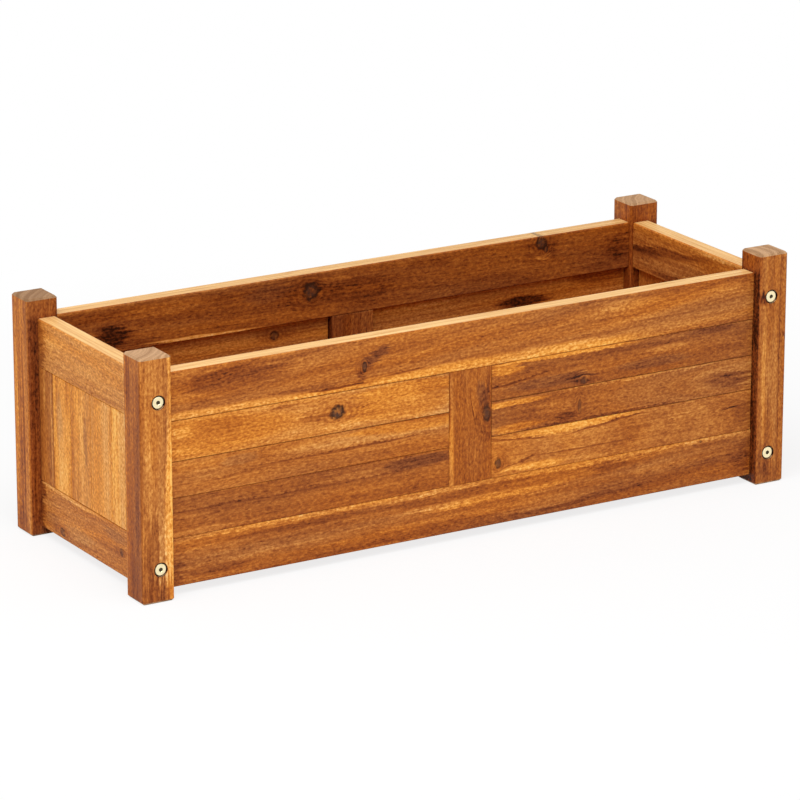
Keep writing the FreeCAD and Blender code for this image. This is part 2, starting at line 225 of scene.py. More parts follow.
def fill_grain(net, given):
    """Growth rings round a pith, streaks, fibres and pores, with u along the grain, v and w across it."""
    u, v, w = net.split(given["Place"]).values()
    seed = given["Seed"]
    su, sv, sw = (net.add(part, net.times(seed, step)) for part, step in zip((u, v, w), SEED_STEPS))

    def woven(often, across, *kind):
        """Noise along the threads of the grain."""
        along, over = often
        return net.noise(net.times(su, along), net.times(across, over), net.times(sw, over), *kind)

    flow = net.less(v, given["Push"])
    flow = net.swing(flow, woven(WANDER, sv), WANDER_REACH)
    flow = net.swing(flow, woven(FLUTTER, sv), FLUTTER_REACH)
    across = net.less(net.less(flow, given["Pith V"]), net.times(given["Tilt V"], u))
    inward = net.less(net.less(w, given["Pith W"]), net.times(given["Tilt W"], u))
    ring = net.add(net.length(across, inward), net.times(seed, SEED_RINGS))

    def banded(often, layer, *kind):
        """Noise in bands that follow the rings."""
        along, over = often
        return net.noise(net.times(su, along), net.times(ring, over), layer, *kind)

    broad = banded(BROAD_BANDS, seed)
    middle = banded(MIDDLE_BANDS, seed)
    fine = banded(FINE_BANDS, seed, *CRISP)
    hue = banded(HUE_BANDS, net.add(seed, SEED_HUE), *DRIFTING)
    thread = net.add(flow, seed)
    streak = woven(STREAKS, thread, *CRISP)
    fibre = woven(FIBRES, thread, *CRISP)
    pores = net.smooth(woven(DASHES, thread, DASH_DETAIL), *PORE_RANGE)
    return flow, broad, middle, fine, streak, fibre, pores, hue


# The inner share of a patch that has its full strength.
PATCH_HEART = 0.5


def fill_patch(net, given):
    """A long soft patch along the grain, 1 inside and 0 outside."""
    off_u = net.less(given["U"], given["Centre U"])
    off_v = net.less(net.less(given["V"], given["Centre V"]), net.times(given["Slope"], off_u))
    share_u = net.math("DIVIDE", off_u, given["Half U"])
    share_v = net.math("DIVIDE", off_v, given["Half V"])
    return [net.smooth(net.length(share_u, share_v), 1.0, PATCH_HEART)]


# A knot, in shares of its size from the middle: where its rim ends and starts, its core and its halo.
KNOT_RIM_OUTSIDE = (1.35, 0.95)
KNOT_RIM_INSIDE = (0.45, 0.90)
KNOT_CORE_EDGE = (1.05, 0.60)
KNOT_HALO_EDGE = (2.6, 0.7)
# The lumps of its outline in a metre, and how far they move the knot's edge and the halo's.
KNOT_LUMPS = 130.0
KNOT_RAGGED = 0.9
HALO_RAGGED = 1.2
# The halo reaches further along the grain, and its tone goes in waves: their level, rate and swing.
HALO_SQUEEZE = 0.42
HALO_LEVEL = 0.8
HALO_RATE = 7.0
HALO_SWING = 0.35
# The grain that the knot pushes aside, as a share of its distance, and how fast that falls off.
PUSH_SHARE = 0.72
PUSH_FALL = -0.30


def fill_knot(net, given):
    """A knot: how far the grain is pushed aside, its dark rim, its grey core and its long brown halo."""
    off_u = net.less(given["U"], given["Centre U"])
    off_v = net.less(given["V"], given["Centre V"])
    rough = net.noise(net.times(given["U"], KNOT_LUMPS), net.times(given["V"], KNOT_LUMPS), given["Size"])
    share_u = net.math("DIVIDE", off_u, net.times(given["Size"], given["Stretch"]))
    share_v = net.math("DIVIDE", off_v, given["Size"])
    away = net.swing(net.length(share_u, share_v), rough, KNOT_RAGGED)
    rim = net.times(net.smooth(away, *KNOT_RIM_OUTSIDE), net.smooth(away, *KNOT_RIM_INSIDE))
    core = net.smooth(away, *KNOT_CORE_EDGE)
    around = net.swing(net.length(net.times(share_u, HALO_SQUEEZE), share_v), rough, HALO_RAGGED)
    waves = net.plus_times(HALO_LEVEL, net.math("SINE", net.times(away, HALO_RATE)), HALO_SWING)
    halo = net.times(net.smooth(around, *KNOT_HALO_EDGE), waves)
    fall = net.math("EXPONENT", net.times(net.times(away, away), PUSH_FALL))
    push = net.times(net.times(off_v, PUSH_SHARE), fall)
    strength = given["Strength"]
    return push, net.times(rim, strength), net.times(core, strength), net.times(halo, strength)


# How round the edges look, and the cosines of that rounding's turn at which the edge lightening, rubbed
# pale and with a painted highlight, starts and is full.
EDGE_ROUND = 1.1 * MM
EDGE_SAMPLES = 6
EDGE_WEAR_AND_GLEAM = (0.995, 0.90)
# Which part of a noise goes from the first colour to the second.
HUE_RANGE = (0.25, 0.75)
TOPLIGHT_RANGE = (0.20, 0.75)
RINGS_RANGE = (0.32, 0.68)
CORE_FIBRES = (0.95, 0.25)
RIM_FIBRES = (0.90, 0.35)
# How strongly pores show in sawn ends.
END_PORES = 0.5
# Roughness of the oiled surface, and what fibres, pores, sawn ends and seams add to it.
OIL_ROUGH = 0.46
FIBRE_ROUGH = 0.22
PORE_ROUGH = 0.14
END_ROUGH = 0.22
SEAM_ROUGH = 0.40
# The relief: what fibres and pores add to its height, as shares of its depth, and its strength.
FIBRE_RISE = 0.6
PORE_RISE = -0.8
RELIEF_STRENGTH = 0.35
RELIEF_DEPTH = 0.12 * MM


def fill_finish(net, given):
    """The oiled surface: palette, knots, end grain, painted top light, rubbed and painted-highlit edges,
    roughness and fine relief.
    """
    soft = net.node("ShaderNodeBevel", EDGE_ROUND, samples=EDGE_SAMPLES).outputs[0]
    facing = net.node("ShaderNodeNewGeometry").outputs["Normal"]
    edge = net.node("ShaderNodeVectorMath", soft, facing, operation="DOT_PRODUCT").outputs["Value"]
    worn_and_lit = net.smooth(edge, *EDGE_WEAR_AND_GLEAM)

    # The tone lifts along edges: rubbed pale, and a painted edge highlight.
    colour = net.ramp(net.plus_times(given["Tone"], worn_and_lit, given["Wear"]), PALETTE)
    tint = net.blend(net.smooth(given["Hue"], *HUE_RANGE), GREY_TINT, RICH_TINT)
    colour = net.blend(1.0, colour, tint, "MULTIPLY")
    # Painted top light and sheen on upper faces.
    toplight_colour = net.blend(net.smooth(given["Fine"], *TOPLIGHT_RANGE), linear(TOPLIGHT_DIM), linear(TOPLIGHT_BRIGHT))
    colour = net.blend(given["Top"], colour, toplight_colour)
    end_colour = net.blend(net.smooth(given["Rings"], *RINGS_RANGE), linear(END_DARK), linear(END_LIGHT))
    end_colour = net.blend(net.times(given["Pores"], END_PORES), end_colour, linear(KNOT_RIM))
    end_colour = net.blend(given["Stain"], end_colour, linear(END_STAIN))
    colour = net.blend(given["End"], colour, end_colour)
    colour = net.blend(given["Seam"], colour, linear(SEAM_DARK))
    core = net.times(given["Core"], net.smooth(given["Fibre"], *CORE_FIBRES))
    colour = net.blend(core, colour, linear(KNOT_CORE))
    rim = net.times(given["Rim"], net.smooth(given["Fibre"], *RIM_FIBRES))
    colour = net.blend(rim, colour, linear(KNOT_RIM))

    rough = net.swing(OIL_ROUGH, given["Fibre"], FIBRE_ROUGH)
    rough = net.plus_times(rough, given["Pores"], PORE_ROUGH)
    rough = net.plus_times(rough, given["End"], END_ROUGH)
    rough = net.plus_times(rough, given["Sunk"], SEAM_ROUGH)
    height = net.plus_times(net.times(given["Fibre"], FIBRE_RISE), given["Pores"], PORE_RISE)
    shape = {"Height": height, "Normal": soft}
    relief = net.node("ShaderNodeBump", RELIEF_STRENGTH, RELIEF_DEPTH, named=shape).outputs[0]
    return colour, rough, relief


GRAIN = shared_group(
    "grain",
    ("Place", "Seed", "Push", "Pith V", "Pith W", "Tilt V", "Tilt W"),
    ("Flow", "Broad", "Middle", "Fine", "Streak", "Fibre", "Pores", "Hue"),
    fill_grain,
)
PATCH = shared_group(
    "patch",
    ("U", "V", "Centre U", "Centre V", "Half U", "Half V", "Slope"),
    ("Mask",),
    fill_patch,
)
KNOT = shared_group(
    "knot",
    ("U", "V", "Centre U", "Centre V", "Size", "Stretch", "Strength"),
    ("Push", "Rim", "Core", "Halo"),
    fill_knot,
)
FINISH = shared_group(
    "finish",
    (
        "Tone", "Hue", "Top", "Rim", "Core", "Seam", "Sunk", "End", "Stain", "Rings", "Fine", "Fibre",
        "Pores", "Wear",
    ),
    ("Base Color", "Roughness", "Normal"),
    fill_finish,
)


def empty_net(owner):
    """The net of a material or a world, with nothing on it yet."""
    owner.use_nodes = True
    owner.node_tree.nodes.clear()
    return Net(owner.node_tree)


def new_material(name):
    """An empty material, its net and its surface shader."""
    material = bpy.data.materials.new(name)
    net = empty_net(material)
    shader = net.node("ShaderNodeBsdfPrincipled")
    net.node("ShaderNodeOutputMaterial", shader.outputs[0])
    return material, net, shader


def use(net, tree, **values):
    """A shared group at work, its inputs named with _ for a space."""
    made = net.node("ShaderNodeGroup", node_tree=tree)
    for name, value in values.items():
        net.feed(made.inputs[name.replace("_", " ")], value)
    return made.outputs


def bolt_distance(net, place):
    """How far a point is from the axis of the nearest bolt, all of which lie along y."""
    off_x = net.less(net.math("ABSOLUTE", place["x"]), BOLT_ALONG * MM)
    off_low, off_high = (net.math("ABSOLUTE", net.less(place["z"], height * MM)) for height in BOLT_HEIGHTS)
    return net.length(off_x, net.math("MINIMUM", off_low, off_high))


# How much a knot's halo darkens the tone.
HALO_SHADE = -0.16


def knots_on(net, u, v, knots):
    """The knots of a board: how far they push the grain, and their rims, cores and shade."""
    push, rim, core, shade = 0.0, 0.0, 0.0, 0.0
    for spot_u, spot_v, size, stretch, strength in knots:
        knot = use(
            net, KNOT, U=u, V=v, Centre_U=spot_u * MM, Centre_V=spot_v * MM, Size=size * MM,
            Stretch=stretch, Strength=strength,
        )
        push = net.add(push, knot["Push"])
        rim = net.math("MAXIMUM", rim, knot["Rim"])
        core = net.math("MAXIMUM", core, knot["Core"])
        shade = net.plus_times(shade, knot["Halo"], HALO_SHADE)
    return push, rim, core, shade


# How far streaks fray a patch along the grain, and what frays it across the grain, and how far.
FRAY_ALONG = 40.0 * MM
FRAY_ACROSS = {"Middle": 4.0 * MM, "Streak": 3.0 * MM, "Fibre": 2.2 * MM}


def with_patches(net, tone, tint, grain, u, across, patches):
    """The tone and the tint once these patches are on them, their outlines frayed by the grain."""
    frayed_u = net.swing(u, grain["Streak"], FRAY_ALONG)
    for part, reach in FRAY_ACROSS.items():
        across = net.swing(across, grain[part], reach)
    for spot_u, spot_v, half_u, half_v, amount, *more in patches:
        slope, shift = (*more, 0.0, 0.0)[:2]
        mask = use(
            net, PATCH, U=frayed_u, V=across, Centre_U=spot_u * MM, Centre_V=spot_v * MM,
            Half_U=half_u * MM, Half_V=half_v * MM, Slope=slope,
        )["Mask"]
        tone = net.plus_times(tone, mask, amount)
        tint = net.plus_times(tint, mask, shift)
    return tone, tint


# The painted shade inside the planter: how dark it is, how squarely a side has to face inwards to have it,
# and the heights between which it fades out, to a share of itself above the rails.
INSIDE_SHADE = -0.22
INSIDE_FACING = (0.55, 0.90)
RIM_HEIGHTS = (236.0 * MM, 226.0 * MM)
RIM_SHADE = 0.25


def inside_shade(net, facing, height, recessed):
    """The share of that painted shade on a post or stile, by how much of it each side has, such as {"+x":
    1.0}.
    """
    shade = 0.0
    for (sign, axis), share in recessed.items():
        towards = net.times(facing[axis], 1.0 if sign == "+" else -1.0)
        shade = net.math("MAXIMUM", shade, net.times(net.smooth(towards, *INSIDE_FACING), share))
    under_rim = net.plus_times(RIM_SHADE, net.smooth(height, *RIM_HEIGHTS), 1.0 - RIM_SHADE)
    return net.times(shade, under_rim)


# How much each part of the grain swings the tone. Contrast scales the first three, and pores only darken.
BROAD_SWING = 0.62
MIDDLE_SWING = 0.40
FINE_SWING = 0.32
STREAK_SWING = 0.28
PORE_SHADE = -0.14
# The swing of the fibres, and the tones between which figure adds to it, times this factor.
FIBRE_SWING = 0.56
FIGURE_TONES = (0.45, 0.80)
FIGURE_FACTOR = 3.5
# A small lift of all tones, against what pores and fibres take.
TONE_LIFT = 0.02
# How seams' slanting sides, sawn ends and upper faces with painted top light are told apart by where they
# face.
SLANT_STARTS = (0.40, 0.60)
SLANT_ENDS = (0.95, 0.85)
SLANT_UPWARD = (0.50, 0.20)
END_FACING = (0.45, 0.70)
TOPLIGHT_FACING = (0.75, 0.95)
# The painted shade on the walls of the bolts' counterbores.
HOLE_EDGE = (7.8 * MM, 7.0 * MM)
HOLE_SHADE = -0.8
# The specular level of the oiled surface.
OIL_SHINE = 0.11


def timber(name, axes, tone, seed, contrast, pith, figure=0.06, tilt=(0.0, 0.0), patches=(),
           side_patches=(), knots=(), recessed=None, hue=0.0, top=0.0, stain=0.0, wear_and_gleam=0.0, seam=0.40,
           holes=False):
    """A material for one board. axes says which of x, y and z are u along the grain, v and w across it.

    tone is the board's place on the palette, and hue is above 0 for richer wood and below 0 for greyer.
    contrast is the strength of its bands, and figure that of the speckle in its lighter wood. The rings
    go round a pith at v and w, which tilts along u. A patch is (u, v, half length, half width, lighter or
    darker) with an optional slope and tint, a side patch has w in the place of v, and a knot is
    (u, v, size, stretch, strength). recessed names the sides that get the painted shade inside the planter.
    top is the share of painted top light, a pale colour, on an upper face, stain darkens sawn ends, wear
    lightens edges, both rubbed pale and with a painted highlight, seam darkens the grooves between boards,
    and holes paints shade into the bolts' counterbores. Places and sizes are in millimetres in the
    planter's frame.
    """
    material, net, shader = new_material(name)
    place = net.place()
    u, v, w = (place[axis] for axis in axes)
    board_place = net.node("ShaderNodeCombineXYZ", u, v, w).outputs[0]
    push, rim, core, shade = knots_on(net, u, v, knots)
    pith_v, pith_w = (part * MM for part in pith)
    tilt_v, tilt_w = tilt
    grain = use(
        net, GRAIN, Place=board_place, Seed=float(seed), Push=push, Pith_V=pith_v, Pith_W=pith_w,
        Tilt_V=tilt_v, Tilt_W=tilt_w,
    )

    value = net.swing(shade, grain["Broad"], BROAD_SWING * contrast)
    value = net.swing(value, grain["Middle"], MIDDLE_SWING * contrast)
    value = net.swing(value, grain["Fine"], FINE_SWING * contrast)
    value = net.swing(value, grain["Streak"], STREAK_SWING)
    value = net.plus_times(value, grain["Pores"], PORE_SHADE)
    value = net.add(value, tone + TONE_LIFT)
    tint = net.add(grain["Hue"], hue)
    for marks, across in ((patches, grain["Flow"]), (side_patches, w)):
        if marks:
            value, tint = with_patches(net, value, tint, grain, u, across, marks)
    speckle = net.plus_times(FIBRE_SWING, net.smooth(value, *FIGURE_TONES), FIGURE_FACTOR * figure)
    value = net.swing(value, grain["Fibre"], speckle)

    facing = net.split(net.node("ShaderNodeNewGeometry").outputs["Normal"])
    # Painted shade inside the planter, on the sides that face inwards.
    if recessed:
        value = net.plus_times(value, inside_shade(net, facing, place["z"], recessed), INSIDE_SHADE)
    # Painted shade in the bolts' counterbores.
    if holes:
        value = net.plus_times(value, net.smooth(bolt_distance(net, place), *HOLE_EDGE), HOLE_SHADE)
    slant = net.math("ABSOLUTE", facing[axes[2]])
    sunk = net.times(net.smooth(slant, *SLANT_STARTS), net.smooth(slant, *SLANT_ENDS))
    if top:
        sunk = net.times(sunk, net.smooth(facing["z"], *SLANT_UPWARD))
    end = net.smooth(net.math("ABSOLUTE", facing[axes[0]]), *END_FACING)
    if seam:
        end = net.times(end, net.less(1.0, sunk))
    upper = net.times(net.smooth(facing["z"], *TOPLIGHT_FACING), top)
    finish = use(
        net, FINISH, Tone=value, Hue=tint, Top=upper, Rim=rim, Core=core, Seam=net.times(sunk, seam),
        Sunk=sunk, End=end, Stain=stain, Rings=grain["Middle"], Fine=grain["Streak"],
        Fibre=grain["Fibre"], Pores=grain["Pores"], Wear=wear_and_gleam,
    )
    for socket in ("Base Color", "Roughness", "Normal"):
        net.feed(shader.inputs[socket], finish[socket])
    shader.inputs["Specular IOR Level"].default_value = OIL_SHINE
    return material


# Plated steel: its turned rings and its clouds in a metre, and which part of each changes the colour.
TURNED_RINGS = 5200.0
PLATE_CLOUDS = 420.0
CLOUD_DETAIL = 3.0
TURNED_RANGE = (0.3, 0.7)
DULL_RANGE = (0.55, 0.8)
# Where oil has gathered, with painted shade: inside a reach and below a depth in the socket, and below a
# depth under the rim.
SOCKET_REACH = (2.5 * MM, 2.2 * MM)
SOCKET_DEPTH = (0.2 * MM, 0.9 * MM)
SOCKET_OIL_AND_SHADE = 0.5
RIM_DEPTH = (0.35 * MM, 0.8 * MM)
# How much of the metal the oil and its painted shade cover, what it adds to the roughness, and its specular
# level.
OIL_AND_SHADE_COVER = 0.9
GRIME_ROUGH = 0.25
GRIME_SHINE = 0.1
# Roughness of the bare plating, and the relief of its turned rings.
PLATE_ROUGH = 0.30
PLATE_ROUGH_SWING = 0.25
RIDGE_STRENGTH = 0.25
RIDGE_DEPTH = 0.02 * MM


def plated_metal(name):
    """Pale plated steel, turned in fine rings, and dark in the socket and under the rim with oil and
    painted shade.
    """
    material, net, shader = new_material(name)
    place = net.place()
    out = bolt_distance(net, place)
    deep = net.less(HEAD_FACE * MM, net.math("ABSOLUTE", place["y"]))
    turned = net.noise(net.times(out, TURNED_RINGS), place["z"], place["x"])
    cloud = net.noise(*(net.times(place[axis], PLATE_CLOUDS) for axis in "xyz"), CLOUD_DETAIL)
    colour = net.blend(net.smooth(turned, *TURNED_RANGE), linear(PLATE_DARK), linear(PLATE_LIGHT))
    colour = net.blend(net.smooth(cloud, *DULL_RANGE), colour, linear(PLATE_DULL))
    in_socket = net.times(net.smooth(out, *SOCKET_REACH), net.smooth(deep, *SOCKET_DEPTH))
    # Oil with painted shade, in the socket and under the rim.
    oil_and_shade = net.math("MAXIMUM", net.times(in_socket, SOCKET_OIL_AND_SHADE), net.smooth(deep, *RIM_DEPTH))
    colour = net.blend(net.times(oil_and_shade, OIL_AND_SHADE_COVER), colour, linear(OIL_AND_PAINTED_SHADE))
    rough = net.swing(PLATE_ROUGH, cloud, PLATE_ROUGH_SWING)
    ridges = net.node("ShaderNodeBump", RIDGE_STRENGTH, RIDGE_DEPTH, named={"Height": turned}).outputs[0]
    net.feed(shader.inputs["Base Color"], colour)
    net.feed(shader.inputs["Roughness"], net.plus_times(rough, oil_and_shade, GRIME_ROUGH))
    net.feed(shader.inputs["Normal"], ridges)
    net.feed(shader.inputs["Metallic"], net.less(1.0, oil_and_shade))
    shader.inputs["Specular IOR Level"].default_value = GRIME_SHINE
    return material


# Zinc: its spangles in a metre, which part of them goes from dark to light, and its roughness.
ZINC_SPANGLES = 900.0
ZINC_RANGE = (0.35, 0.65)
ZINC_ROUGH = 0.42
ZINC_ROUGH_SWING = 0.3


def brushed_metal(name):
    """Dull zinc with a fine cloudy spangle."""
    material, net, shader = new_material(name)
    place = net.place()
    cloud = net.noise(*(net.times(place[axis], ZINC_SPANGLES) for axis in "xyz"), CLOUD_DETAIL)
    colour = net.blend(net.smooth(cloud, *ZINC_RANGE), linear(ZINC_DARK), linear(ZINC_LIGHT))
    net.feed(shader.inputs["Base Color"], colour)
    net.feed(shader.inputs["Roughness"], net.swing(ZINC_ROUGH, cloud, ZINC_ROUGH_SWING))
    shader.inputs["Metallic"].default_value = 1.0
    return material


# Which axes lie along the grain, across it on the main face, and through the board.
ALONG_X = "xzy"
ALONG_Y = "yzx"
UPRIGHT_FRONT = "zxy"
UPRIGHT_END = "zyx"
ACROSS_FLOOR = "yxz"

# How much painted top light lies on a planed rail's upper face, and a seam that hardly shows.
TOPLIGHT_SHARE = 0.92
SOFT_SEAM = 0.10

